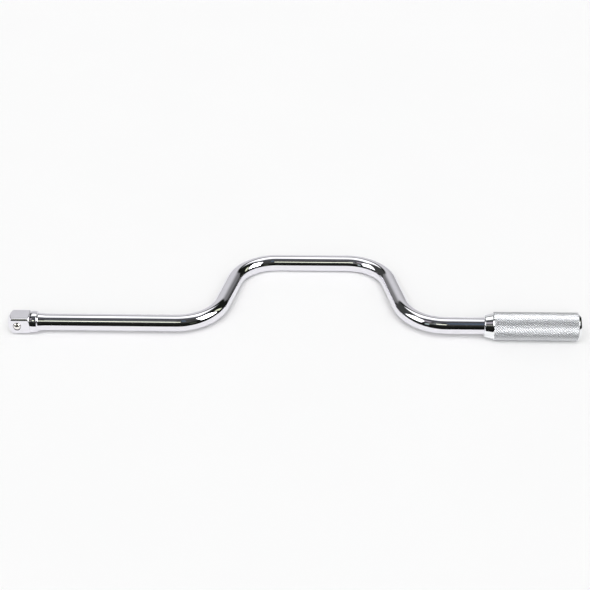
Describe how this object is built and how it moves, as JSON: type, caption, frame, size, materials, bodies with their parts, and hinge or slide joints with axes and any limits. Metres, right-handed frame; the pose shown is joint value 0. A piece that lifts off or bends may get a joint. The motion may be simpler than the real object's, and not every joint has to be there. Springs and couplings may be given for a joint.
{
  "type": "speed brace",
  "caption": "Cranked steel bar with a half-inch square drive, a spring ball detent and a knurled grip that spins freely, for running fasteners in and out quickly.",
  "frame": {"origin": "centre of the drive square's end face, on the axis that the drive and the grip share", "axes": "+X along the drive's axis from the square towards the grip, +Y towards the crank's throw, +Z square to the crank's plane; the detent ball faces -Y"},
  "size_m": [0.4034, 0.096, 0.02],
  "materials": {
    "polished_chrome": "mirror-polished chrome plate on forged steel",
    "knurled_chrome": "chrome plate over a fine diamond knurl, polished on the nose and the end",
    "ball_steel": "bright hardened bearing steel",
    "spring_steel": "drawn spring wire, lightly oiled",
    "plain_steel": "plain turned steel",
    "plug_chrome": "pressed steel, chromed and polished"
  },
  "bodies": {
    "crank": {"crank_bar": "polished_chrome", "detent_spring": "spring_steel", "thrust_washer": "plain_steel", "retaining_ring": "spring_steel"},
    "ball": {"detent_ball": "ball_steel"},
    "grip": {"grip_sleeve": "knurled_chrome", "end_plug": "plug_chrome"}
  },
  "joints": [
    {"name": "grip_spin", "type": "hinge", "parent": "crank", "child": "grip", "pos_m": [0.3359, 0, 0], "axis": [1, 0, 0], "continuous": true},
    {"name": "detent_press", "type": "slide", "parent": "crank", "child": "ball", "axis": [0, 1, 0], "range_m": [0, 0.0013], "stiffness_N_per_m": 3000, "springref_m": -0.002, "deforming": ["detent_spring"]}
  ]
}
